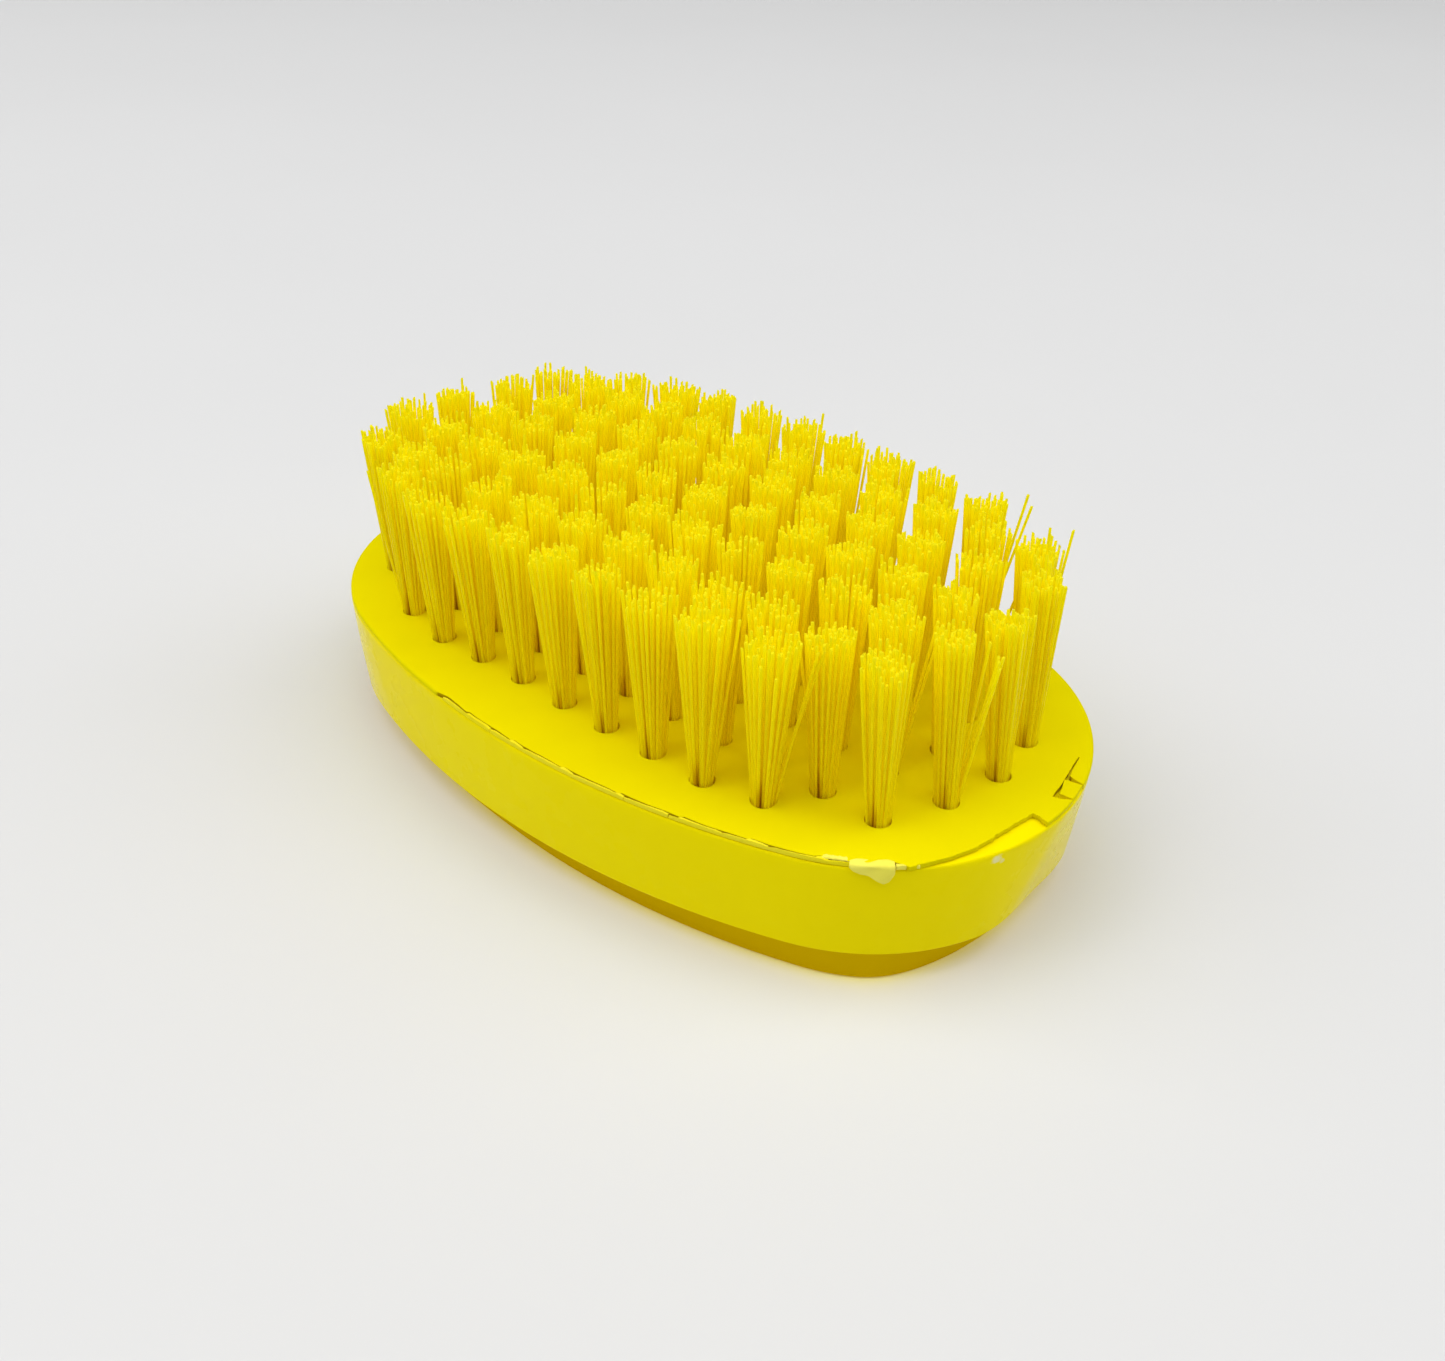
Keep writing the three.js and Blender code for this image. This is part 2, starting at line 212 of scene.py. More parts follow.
def smoothstep(a, b, x):
    t = np.clip((np.asarray(x, float) - a) / (b - a), 0, 1)
    return t * t * (3 - 2 * t)


# ------------------------------------------------------------------- materials
def new_material(name):
    mat = bpy.data.materials.new(name)
    mat.use_nodes = True
    nt = mat.node_tree
    for n in list(nt.nodes):
        nt.nodes.remove(n)
    out = nt.nodes.new("ShaderNodeOutputMaterial")
    bsdf = nt.nodes.new("ShaderNodeBsdfPrincipled")
    nt.links.new(bsdf.outputs[0], out.inputs[0])
    return mat, nt, bsdf


def node(nt, kind, **values):
    n = nt.nodes.new(kind)
    for key, value in values.items():
        if hasattr(n, key):
            setattr(n, key, value)
        else:
            n.inputs[key].default_value = value
    return n


def noise(nt, coords, scale, detail=3.0, rough=0.5):
    n = node(nt, "ShaderNodeTexNoise")
    n.inputs["Scale"].default_value = scale
    n.inputs["Detail"].default_value = detail
    n.inputs["Roughness"].default_value = rough
    nt.links.new(coords, n.inputs["Vector"])
    return n.outputs["Fac"]


def remap(nt, source, a, b, c, d):
    n = node(nt, "ShaderNodeMapRange")
    for key, value in zip(("From Min", "From Max", "To Min", "To Max"), (a, b, c, d)):
        n.inputs[key].default_value = value
    nt.links.new(source, n.inputs["Value"])
    return n.outputs["Result"]


def mix_colour(nt, fac, a, b, blend="MIX"):
    n = node(nt, "ShaderNodeMix", data_type="RGBA", blend_type=blend)
    fac_in = n.inputs[0]
    if isinstance(fac, float):
        fac_in.default_value = fac
    else:
        nt.links.new(fac, fac_in)
    for k, v in ((6, a), (7, b)):
        if isinstance(v, tuple):
            n.inputs[k].default_value = (*v, 1.0)
        else:
            nt.links.new(v, n.inputs[k])
    return n.outputs[2]


def math_node(nt, op, a, b=None):
    n = node(nt, "ShaderNodeMath", operation=op)
    for k, v in ((0, a), (1, b)):
        if v is None:
            continue
        if isinstance(v, (int, float)):
            n.inputs[k].default_value = v
        else:
            nt.links.new(v, n.inputs[k])
    return n.outputs[0]


def spot(nt, position, centre, radius, seed_scale=900.0):
    """Mask that is 1 within a ragged patch round a point in mm."""
    d = node(nt, "ShaderNodeVectorMath", operation="DISTANCE")
    nt.links.new(position, d.inputs[0])
    d.inputs[1].default_value = tuple(c * MM for c in centre)
    n = noise(nt, position, seed_scale, 2.0)
    ragged = math_node(nt, "ADD", d.outputs["Value"], remap(nt, n, 0.3, 0.7, -0.35 * radius * MM, 0.35 * radius * MM))
    return remap(nt, ragged, 0.75 * radius * MM, radius * MM, 1.0, 0.0)


def plastic(name, base, dark, rough, spec, specks=0.0, scuffs=(), grain=0.004, underside_shade=None, crack_shade=None):
    mat, nt, bsdf = new_material(name)
    tex = node(nt, "ShaderNodeTexCoord")
    pos = tex.outputs["Object"]
    colour = mix_colour(nt, remap(nt, noise(nt, pos, 60.0, 4.0), 0.35, 0.65, 0.0, 1.0), base, dark)
    # faint flow marks of the moulding
    stretch = node(nt, "ShaderNodeMapping")
    stretch.inputs["Scale"].default_value = (18.0, 160.0, 60.0)
    nt.links.new(pos, stretch.inputs["Vector"])
    flow = noise(nt, stretch.outputs[0], 1.0, 5.0, 0.6)
    colour = mix_colour(nt, remap(nt, flow, 0.4, 0.75, 0.0, 0.22), colour, tuple(min(1.0, c * 1.05) for c in base))
    if specks > 0:
        vor = node(nt, "ShaderNodeTexVoronoi", feature="F1")
        vor.inputs["Scale"].default_value = 145.0
        nt.links.new(pos, vor.inputs["Vector"])
        sep = node(nt, "ShaderNodeSeparateColor")
        nt.links.new(vor.outputs["Color"], sep.inputs[0])
        size = remap(nt, sep.outputs[0], 0.86, 1.0, 0.0, 0.022)
        dot = math_node(nt, "LESS_THAN", vor.outputs["Distance"], size)
        colour = mix_colour(nt, math_node(nt, "MULTIPLY", dot, specks), colour, (0.16, 0.09, 0.005))
    for centre, radius, amount in scuffs:
        colour = mix_colour(nt, math_node(nt, "MULTIPLY", spot(nt, pos, centre, radius), amount), colour, (0.88, 0.86, 0.52))
    # painted shade: broken edges and cracks of the flange get a dark colour, standing in for the shade inside them
    if crack_shade:
        edge = node(nt, "ShaderNodeAttribute", attribute_name="crack_shade")
        colour = mix_colour(nt, edge.outputs["Fac"], colour, crack_shade)
    # painted shade: below the crease the back gets a darker, more orange colour, standing in for the shade that falls
    # under the overhang
    if underside_shade:
        underside_shade_node = node(nt, "ShaderNodeAttribute", attribute_name="underside_shade")
        colour = mix_colour(nt, underside_shade_node.outputs["Fac"], colour, underside_shade)
    nt.links.new(colour, bsdf.inputs["Base Color"])
    nt.links.new(
        remap(nt, noise(nt, pos, 180.0, 4.0, 0.55), 0.3, 0.7, rough - 0.03, rough + 0.04), bsdf.inputs["Roughness"]
    )
    bsdf.inputs["IOR"].default_value = 1.5
    facing = node(nt, "ShaderNodeLayerWeight", Blend=0.5)
    gloss = remap(nt, facing.outputs["Facing"], 0.78, 0.97, 0.03 * spec, spec)
    # painted shade: the gloss is taken away where the underside shade is painted
    if underside_shade:
        gloss = math_node(nt, "MULTIPLY", gloss, math_node(nt, "SUBTRACT", 1.0, underside_shade_node.outputs["Fac"]))
    bsdf.inputs["Specular IOR Level"].default_value = 0.3 * spec
    nt.links.new(gloss, bsdf.inputs["Specular IOR Level"])
    bsdf.inputs["Specular Tint"].default_value = (1.0, 0.85, 0.0, 1.0)
    bump = node(nt, "ShaderNodeBump")
    bump.inputs["Strength"].default_value = 0.35
    bump.inputs["Distance"].default_value = grain * MM
    height = math_node(nt, "ADD", noise(nt, pos, 2600.0, 3.0, 0.6), noise(nt, pos, 700.0, 2.0, 0.5))
    nt.links.new(height, bump.inputs["Height"])
    nt.links.new(bump.outputs[0], bsdf.inputs["Normal"])
    return mat


YELLOW = (0.785, 0.697, 0.0005)
YELLOW_DEEP = (0.775, 0.678, 0.0004)
# the shell's back below the crease carries painted shade
shell_mat = plastic(
    "shell_plastic", (0.955, 0.82, 0.0004), (0.945, 0.80, 0.0003), 0.27, 0.62, underside_shade=(0.665, 0.44, 0.0002),
    scuffs=[((43.3, -9.2, FACE_Z - 1.3), 0.7, 0.75), ((43.6, -8.4, FACE_Z - 2.0), 0.45, 0.5)],
)
# the plate's broken edges carry painted shade
plate_mat = plastic("plate_plastic", YELLOW, YELLOW_DEEP, 0.42, 0.08, specks=0.8, crack_shade=(0.30, 0.15, 0.0002))
bead_mat = plastic("bead_plastic", (0.84, 0.72, 0.001), (0.90, 0.79, 0.012), 0.35, 0.3)
flash_mat = plastic("flash_plastic", (0.87, 0.76, 0.004), (0.90, 0.80, 0.03), 0.35, 0.35)
tongue_mat = plastic("tongue_plastic", (0.90, 0.84, 0.13), (0.88, 0.80, 0.05), 0.3, 0.35)


def bristle_material():
    mat, nt, bsdf = new_material("bristle_filament")
    tint = node(nt, "ShaderNodeAttribute", attribute_name="tint")
    along = node(nt, "ShaderNodeAttribute", attribute_name="along")
    tex = node(nt, "ShaderNodeTexCoord")
    pos = tex.outputs["Object"]
    colour = mix_colour(nt, tint.outputs["Fac"], (0.99, 0.925, 0.001), (0.995, 0.945, 0.002))
    streak = node(nt, "ShaderNodeMapping")
    streak.inputs["Scale"].default_value = (1400.0, 1400.0, 70.0)
    nt.links.new(pos, streak.inputs["Vector"])
    fine = noise(nt, streak.outputs[0], 1.0, 3.0)
    colour = mix_colour(nt, remap(nt, fine, 0.4, 0.7, 0.0, 0.2), colour, (0.98, 0.89, 0.001))
    # painted shade: filaments beside the split in each tuft get a darker, orange colour near the foot
    gap_shade = node(nt, "ShaderNodeAttribute", attribute_name="gap_shade")
    colour = mix_colour(nt, gap_shade.outputs["Fac"], colour, (0.60, 0.20, 0.0))
    cut = remap(nt, along.outputs["Fac"], 0.965, 1.0, 0.0, 0.75)
    colour = mix_colour(nt, cut, colour, (0.99, 0.95, 0.02))
    nt.links.new(colour, bsdf.inputs["Base Color"])
    nt.links.new(remap(nt, fine, 0.3, 0.7, 0.3, 0.45), bsdf.inputs["Roughness"])
    bsdf.inputs["Specular IOR Level"].default_value = 0.3
    bsdf.inputs["Specular Tint"].default_value = (1.0, 0.85, 0.0, 1.0)
    bump = node(nt, "ShaderNodeBump")
    bump.inputs["Strength"].default_value = 0.2
    bump.inputs["Distance"].default_value = 0.004 * MM
    nt.links.new(fine, bump.inputs["Height"])
    nt.links.new(bump.outputs[0], bsdf.inputs["Normal"])
    # painted glow: emission standing in for light that the thin filament carries along from its lit end, darker beside
    # the split
    filament_glow = mix_colour(nt, gap_shade.outputs["Fac"], (1.0, 0.82, 0.0), (0.2, 0.04, 0.0))
    nt.links.new(filament_glow, bsdf.inputs["Emission Color"])
    bsdf.inputs["Emission Strength"].default_value = 0.038
    # light that comes through the thin filament
    glow = node(nt, "ShaderNodeBsdfTranslucent")
    nt.links.new(colour, glow.inputs["Color"])
    mixer = node(nt, "ShaderNodeMixShader")
    mixer.inputs[0].default_value = 0.5
    out = next(n for n in nt.nodes if n.type == "OUTPUT_MATERIAL")
    nt.links.new(bsdf.outputs[0], mixer.inputs[1])
    nt.links.new(glow.outputs[0], mixer.inputs[2])
    nt.links.new(mixer.outputs[0], out.inputs[0])
    return mat


bristle_mat = bristle_material()

# -------------------------------------------------------------------- the shell
N = 720
S = np.arange(N) * PERIMETER / N
RING_P, RING_N = oval(S)


RING_RUN = np.interp(np.degrees(np.arctan2(np.abs(RING_N[:, 1]), RING_N[:, 0])), RUN_ANGLE, RUN_IN)
RING_TURN = np.degrees(np.arctan2(np.abs(RING_N[:, 1]), np.abs(RING_N[:, 0])))
RING_LEAN = END_LEAN * (1 - smoothstep(0.0, END_LEAN_SPAN, RING_TURN))
for _ in range(30):  # ease the steps of the table
    RING_RUN = (np.roll(RING_RUN, 1) + 2 * RING_RUN + np.roll(RING_RUN, -1)) / 4

# (inset, z, share of the run-in)
back = [(12.0, 0.0, 0.0), (9.6, 0.0, 0.0), (7.6, 0.0, 0.0), (2.3, 0.0, 1.0), (1.75, 0.012, 1.0), (1.35, 0.045, 1.0),
        (1.08, 0.10, 1.0), (0.92, 0.17, 0.99), (0.82, 0.26, 0.97), (0.80, 0.45, 0.92), (0.80, 1.0, 0.74), (0.80, 1.6, 0.56),
        (0.80, 2.2, 0.39), (0.80, 2.8, 0.235), (0.80, CREASE_Z - 0.37, 0.11), (0.80, CREASE_Z - 0.17, 0.056),
        (0.80, CREASE_Z - 0.06, 0.024), (0.79, CREASE_Z, 0.006), (0.775, CREASE_Z + 0.04, 0.0), (0.765, CREASE_Z + 0.25, 0.0)]
WALL_Z0 = CREASE_Z + 0.45
wall = [(0.745 - 0.745 * t - 0.06 * math.sin(math.pi * t), WALL_Z0 + (RIM_Z - 0.3 - WALL_Z0) * t, 0.0)
        for t in (0.0, 0.1, 0.25, 0.4, 0.55, 0.7, 0.85, 0.94, 1.0)]
rim = [(0.02, RIM_Z - 0.2), (0.06, RIM_Z - 0.1), (0.13, RIM_Z - 0.03), (0.24, RIM_Z), (0.6, RIM_Z), (1.2, RIM_Z), (1.9, RIM_Z), (2.2, RIM_Z - 0.04), (2.3, RIM_Z - 0.2)]
inner = [(2.4, 12.3), (2.6, 9.3), (2.8, 6.8), (3.1, 5.7), (3.9, 4.9), (6.0, 3.8), (9.0, 3.1), (12.0, 2.7)]
profile = back + wall + [(*q, 0.0) for q in rim + inner]


def ring(inset, z, extra=0.0):
    """One ring of the oval, inset inwards; extra moves it outwards point by point."""
    if np.isscalar(inset):
        inset = np.full(N, float(inset))
    p = RING_P - RING_N * (np.minimum(inset, 12.0) - extra)[:, None]
    return np.column_stack([p, np.full(N, z) if np.isscalar(z) else z])


def close_rings(rings, bottom=True, top=True):
    """Quads between rings, with the first and last closed by a middle point."""
    verts = np.vstack(rings)
    faces = []
    n = len(rings[0])
    for i in range(len(rings) - 1):
        a, b = i * n, (i + 1) * n
        for j in range(n):
            k = (j + 1) % n
            faces.append((a + j, a + k, b + k, b + j))
    extra = []
    if bottom:
        c = len(verts) + len(extra)
        extra.append(rings[0].mean(0))
        faces += [(c, (j + 1) % n, j) for j in range(n)]
    if top:
        c = len(verts) + len(extra)
        extra.append(rings[-1].mean(0))
        a = (len(rings) - 1) * n
        faces += [(c, a + j, a + (j + 1) % n) for j in range(n)]
    return np.vstack([verts, np.array(extra)]) if extra else verts, faces


ripple = 0.035 * wave(S, 11, 34.0, 2)
rim_wear = 0.03 * wave(S, 12, 9.0, 3)
rings = []
for inset, z, share in profile:
    outer = inset < 1.0 or z < 0.5
    leaning = RING_LEAN * float(np.clip((RIM_Z - 0.3 - z) / (RIM_Z - 0.3 - CREASE_Z), 0, 1)) if outer and inset < 7.0 else 0.0
    if z > CREASE_Z + 0.4 and inset < 1.0:
        e = ripple * min(1.0, (z - CREASE_Z - 0.4) / 2.0) + (rim_wear if z > RIM_Z - 0.25 else 0.0)
    else:
        e = 0.0 * ripple
    rings.append(ring(inset + share * RING_RUN + leaning, z, e))
# the back's own middle: shrink the last oval ring towards the centre
land = rings[0]
mids_low = [np.column_stack([land[:, :2] * f, np.full(N, 0.0)]) for f in (0.25, 0.5, 0.75)]
top_ring = rings[-1]
mids_high = [np.column_stack([top_ring[:, :2] * f, np.full(N, z)]) for f, z in ((0.7, 2.62), (0.4, 2.6), (0.15, 2.6))]
verts, faces = close_rings(mids_low + rings + mids_high)
# painted shade: the rings below the crease get the painted underside shade, fading out onto the flat land
underside_shade = np.zeros(len(verts))
for i, (inset, z, share) in enumerate(profile):
    if z < CREASE_Z - 0.02 and i > 2:
        a = (len(mids_low) + i) * N
        underside_shade[a : a + N] = smoothstep(0.0, 0.1, z)
shell = add_object("shell_body", verts, faces, shell_mat, attrs={"underside_shade": underside_shade}, corner_sharp=24)
piece(shell, ["back_shell"])

# -------------------------------------------------------------- bristle holes
rows = []
for r in range(7):
    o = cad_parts[f"tuft_row_{r + 1}"]
    co = np.array([v.co for v in o.data.vertices]) / MM
    low = np.unique(co[co[:, 2] < co[:, 2].min() + 0.01][:, :2].round(4), axis=0)
    low = low[np.argsort(low[:, 0])]
    groups = []
    for p in low:
        if groups and p[0] - groups[-1][0][0] < 3.4:
            groups[-1].append(p)
        else:
            groups.append([p])
    rows.append([(np.min(g, 0) + np.max(g, 0)) / 2 for g in groups])
assert [len(r) for r in rows] == [len(r) for r in LEANS]
HOLES = np.array([p for r in rows for p in r])

# -------------------------------------------------------------------- the plate
# The flange's outline, anticlockwise: the oval, then the broken edge at the
# near end with the torn tongue that still crosses the rim.
break_a = [(38.55, -16.45), (38.9, -15.7), (39.5, -14.75), (39.98, -13.85), (40.6, -12.6), (41.1, -11.4), (41.5, -10.3),
           (41.72, -9.3), (41.95, -8.2), (42.06, -7.2), (42.25, -6.1), (42.45, -4.95), (42.75, -3.7), (42.95, -2.62)]
tongue_a = [(43.4, -2.58), (43.9, -2.7), (44.3, -2.83), (44.65, -2.86)]
tongue_b = [(44.55, 1.5), (44.2, 1.22), (43.85, 1.05), (43.45, 0.93), (43.08, 0.8)]
break_b = [(42.98, 1.5), (42.86, 2.6), (42.72, 3.7), (42.55, 4.6), (42.33, 5.8), (42.1, 7.0), (41.98, 8.05),
           (42.1, 8.05), (42.28, 7.0), (42.52, 5.8), (42.8, 4.75), (43.15, 4.62), (43.6, 4.5), (44.0, 4.42)]


def resample(points, step):
    pts = np.array(points, float)
    out = [pts[0]]
    for a, b in zip(pts[:-1], pts[1:]):
        n = max(1, int(math.ceil(np.linalg.norm(b - a) / step)))
        out += [a + (b - a) * t for t in np.linspace(0, 1, n + 1)[1:]]
    return np.array(out)


rng = np.random.RandomState(5)
S_BREAK0, S_TONGUE0, S_TONGUE1, S_END = arc_at(38.7, -16.6), arc_at(44.9, -2.75), arc_at(44.95, 1.7), arc_at(44.39, 4.4)
# the flange's edge stands in from the oval along the cracked front
S_CRACK0, S_CRACK1 = arc_at(-13.0, -26.6), arc_at(38.4, -16.9)


def crack_inset(s):
    """How far the flange's top edge is in from the oval, with stepped peeling along the front."""
    s = np.asarray(s, float)
    inside = smoothstep(S_CRACK0, S_CRACK0 + 2.0, s) * (1 - smoothstep(S_CRACK1 - 1.0, S_CRACK1, s))
    saw = np.mod((s - S_CRACK0) / 6.3 + 0.25 * np.sin(s * 0.9), 1.0)
    return inside * (0.20 + 0.24 * (1 - saw) + 0.05 * wave(s, 21, 3.0, 2))


def oval_part(s0, s1, step):
    n = max(2, int(round((s1 - s0) / step)))
    return np.linspace(s0, s1, n + 1)


outline, radius = [], []  # plan points of the flange, and the rounding of its upper edge
s_run = oval_part(S_END - PERIMETER, S_BREAK0 - PERIMETER, 0.42)[:-1]
p, n = oval(s_run)
front = crack_inset(np.mod(s_run, PERIMETER))
is_crack = front > 0.01
p = p - n * (np.where(is_crack, front, 0.0) + 0.01)[:, None]
outline += list(p)
radius += list(np.where(is_crack, 0.06, 0.34))


def rough_line(points, step, amount):
    q = resample(points, step)
    q[1:-1] += rng.normal(0, amount, q[1:-1].shape)
    return list(q)


for part, amount in ((break_a, 0.03), (tongue_a, 0.02)):
    q = rough_line(part, 0.3, amount)
    outline += q
    radius += [0.05] * len(q)
s_run = oval_part(S_TONGUE0, S_TONGUE1 + (PERIMETER if S_TONGUE1 < S_TONGUE0 else 0), 0.35)
p, n = oval(s_run)
outline += list(p - n * 0.06)
radius += [0.16] * len(p)
for part, amount in ((tongue_b, 0.02), (break_b, 0.012)):
    q = rough_line(part, 0.3, amount)
    outline += q
    radius += [0.045] * len(q)
outline = np.array(outline)
radius = np.array(radius)
keep = np.linalg.norm(outline - np.roll(outline, 1, 0), axis=1) > 0.04
outline, radius = outline[keep], radius[keep]
# soften the steps of the rounding along the edge
for _ in range(3):
    radius = np.minimum(radius, 0.25 * np.roll(radius, 1) + 0.5 * radius + 0.25 * np.roll(radius, -1) + 0.0)


def outline_normals(points):
    d = np.roll(points, -1, 0) - np.roll(points, 1, 0)
    nn = np.stack([d[:, 1], -d[:, 0]], -1)
    return nn / np.linalg.norm(nn, axis=1)[:, None]


M = len(outline)
norm = outline_normals(outline)


def face_height(xy):
    """Slight waviness of the moulded face, in mm above FACE_Z."""
    x, y = xy[:, 0], xy[:, 1]
    h = 0.018 * np.sin(x * 0.21 + 0.6) * np.cos(y * 0.33 - 0.4) + 0.010 * np.sin(x * 0.55 + y * 0.37)
    return h - 0.02


edge_rings = []
for a in (0.0, 0.25, 0.5, 0.75, 1.0):
    ang = a * math.pi / 2
    ins = radius * (1 - math.cos(ang))
    z = FACE_Z - radius * (1 - math.sin(ang))
    q = outline - norm * ins[:, None]
    edge_rings.append(np.column_stack([q, z + (face_height(q) if a == 1.0 else face_height(q) * a)]))
under = np.column_stack([outline - norm * 0.02, np.full(M, FLANGE_Z)])
side_low = np.column_stack([outline, np.full(M, FLANGE_Z + 0.03)])

loop = edge_rings[-1][:, :2]
HN = 28
ang = np.arange(HN) * 2 * np.pi / HN
circle = np.stack([np.cos(ang), np.sin(ang)], -1)
hole_radii = [1.33, 1.52, 1.95]
hole_lift = [0.055, 0.03, 0.0]
points = [loop]
edges = [(i, (i + 1) % M) for i in range(M)]
count = M
hole_ring_start = []
for h in HOLES:
    starts = []
    for rr in hole_radii:
        points.append(h + circle * rr)
        edges += [(count + i, count + (i + 1) % HN) for i in range(HN)]
        starts.append(count)
        count += HN
    hole_ring_start.append(starts)
# a loose grid in between
gx, gy = np.meshgrid(np.arange(-46, 46, 1.1), np.arange(-28, 28, 0.95))
gx = gx + (np.arange(gx.shape[0])[:, None] % 2) * 0.55
grid = np.stack([gx.ravel(), gy.ravel()], -1)


def inside_polygon(pts, poly):
    x, y = pts[:, 0], pts[:, 1]
    inside = np.zeros(len(pts), bool)
    x0, y0 = poly[:, 0], poly[:, 1]
    x1, y1 = np.roll(x0, -1), np.roll(y0, -1)
    for a, b, c, d in zip(x0, y0, x1, y1):
        cross = (b > y) != (d > y)
        if cross.any():
            inside ^= cross & (x < (c - a) * (y - b) / (d - b + 1e-12) + a)
    return inside


near_loop = np.min(np.linalg.norm(grid[:, None, :] - loop[None, ::2, :], axis=2), axis=1) < 0.6
near_hole = np.min(np.linalg.norm(grid[:, None, :] - HOLES[None], axis=2), axis=1) < hole_radii[-1] + 0.45
grid = grid[inside_polygon(grid, loop) & ~near_loop & ~near_hole]
points.append(grid)
flat = np.vstack(points)
cv, ce, cf, ov, oe, of_ = geometry.delaunay_2d_cdt([Vector(q) for q in flat], edges, [], 0, 1e-5)
cv = np.array([tuple(q) for q in cv])
source = [o[0] if o else -1 for o in ov]
assert len(cv) == len(flat) and all(s >= 0 for s in source), "the face's edges cross"
tri = np.array([tuple(f) for f in cf])
tri = np.array(source)[tri]
mid = flat[tri].mean(1)
ok = inside_polygon(mid, loop) & (np.min(np.linalg.norm(mid[:, None, :] - HOLES[None], axis=2), axis=1) > hole_radii[0] * math.cos(math.pi / HN) - 0.01)
tri = tri[ok]
a, b, c = flat[tri[:, 0]], flat[tri[:, 1]], flat[tri[:, 2]]
turn = (b[:, 0] - a[:, 0]) * (c[:, 1] - a[:, 1]) - (b[:, 1] - a[:, 1]) * (c[:, 0] - a[:, 0])
tri[turn < 0] = tri[turn < 0][:, ::-1]
z = FACE_Z + face_height(flat)
for i, starts in enumerate(hole_ring_start):
    for rr, lift, st in zip(hole_radii, hole_lift, starts):
        uneven = 1 + 0.35 * np.sin(ang * 2 + i * 1.7) + 0.25 * np.sin(ang * 3 + i * 0.9)
        z[st : st + HN] += lift * uneven
z[:M] = edge_rings[-1][:, 2]
verts = [np.column_stack([flat, z])]
faces = [tuple(int(i) for i in t) for t in tri]
count = len(flat)


def add_ring_block(ring_points):
    global count
    verts.append(ring_points)
    start = count
    count += len(ring_points)
    return start


def bridge(start_a, start_b, n, flip=False):
    for j in range(n):
        k = (j + 1) % n
        q = (start_a + j, start_a + k, start_b + k, start_b + j)
        faces.append(q[::-1] if flip else q)


# the edge: from the face's loop (index 0) outwards and down
# painted shade: how strongly the flange's sides get the dark crack colour, most along the cracked front and in the slot
broken = np.clip((0.14 - radius) / 0.06, 0, 1)
in_slot = (outline[:, 0] < 43.12) & (outline[:, 1] > 1.2) & (outline[:, 1] < 5.2)
edge_shade = np.where(outline[:, 0] < 38.5, 1.0, np.where(in_slot, 0.9, 0.06))
crack_shade_parts = []
prev = 0
for er in edge_rings[-2::-1]:
    st = add_ring_block(er)
    bridge(st, prev, M)
    prev = st
crack_shade_parts.append((prev, 0.6))
for er in (side_low, under):
    st = add_ring_block(er)
    bridge(st, prev, M)
    prev = st
    crack_shade_parts.append((st, 1.0))
under_start = prev
# the holes: over the lip and down to a blind floor
for i, starts in enumerate(hole_ring_start):
    h = HOLES[i]
    prev_h = starts[0]
    top_z = z[starts[0] : starts[0] + HN]
    for rr, dz in ((1.29, 0.02), (1.265, -0.03), (HOLE_R - 0.025, -0.16), (HOLE_R - 0.04, -1.2), (HOLE_R - 0.08, -3.5)):
        zz = top_z + dz if dz > -1 else np.full(HN, FACE_Z + dz)
        st = add_ring_block(np.column_stack([h + circle * rr, zz]))
        bridge(prev_h, st, HN, flip=True)
        prev_h = st
    c = add_ring_block(np.array([[h[0], h[1], FACE_Z - 3.6]]))
    faces += [(prev_h + j, prev_h + (j + 1) % HN, c) for j in range(HN)]
# underside: flange annulus, then the plug that fits inside the shell
PN = 240
ps = np.arange(PN) * PERIMETER / PN
pp, pn = oval(ps)
plug = pp - pn * 3.0
flat2 = np.vstack([outline - norm * 0.02, plug])
e2 = [(i, (i + 1) % M) for i in range(M)] + [(M + i, M + (i + 1) % PN) for i in range(PN)]
cv2, _, cf2, ov2, _, _ = geometry.delaunay_2d_cdt([Vector(q) for q in flat2], e2, [], 0, 1e-5)
assert len(cv2) == len(flat2), "the flange's edges cross"
src2 = np.array([o[0] for o in ov2])
tri2 = src2[np.array([tuple(f) for f in cf2])]
mid2 = flat2[tri2].mean(1)
tri2 = tri2[inside_polygon(mid2, flat2[:M]) & ~inside_polygon(mid2, plug)]
a, b, c = flat2[tri2[:, 0]], flat2[tri2[:, 1]], flat2[tri2[:, 2]]
turn = (b[:, 0] - a[:, 0]) * (c[:, 1] - a[:, 1]) - (b[:, 1] - a[:, 1]) * (c[:, 0] - a[:, 0])
tri2[turn > 0] = tri2[turn > 0][:, ::-1]
plug_start = add_ring_block(np.column_stack([plug, np.full(PN, FLANGE_Z)]))
lift_index = np.concatenate([under_start + np.arange(M), plug_start + np.arange(PN)])
faces += [tuple(int(lift_index[i]) for i in t) for t in tri2]
prev = plug_start
for ins, zz in ((3.0, PLUG_Z + 0.4), (3.15, PLUG_Z + 0.1), (3.4, PLUG_Z)):
    st = add_ring_block(np.column_stack([pp - pn * ins, np.full(PN, zz)]))
    bridge(st, prev, PN)
    prev = st
c = add_ring_block(np.array([[0.0, 0.0, PLUG_Z]]))
faces += [(prev + (j + 1) % PN, prev + j, c) for j in range(PN)]
# painted shade: the flange's side rings carry the dark crack colour
crack_shade = np.zeros(count)
for start, amount in crack_shade_parts:
    crack_shade[start : start + M] = amount * broken * edge_shade
plate = add_object("face_plate", np.vstack(verts), faces, plate_mat, attrs={"crack_shade": crack_shade}, corner_sharp=42)
piece(plate, ["bristle_plate"])


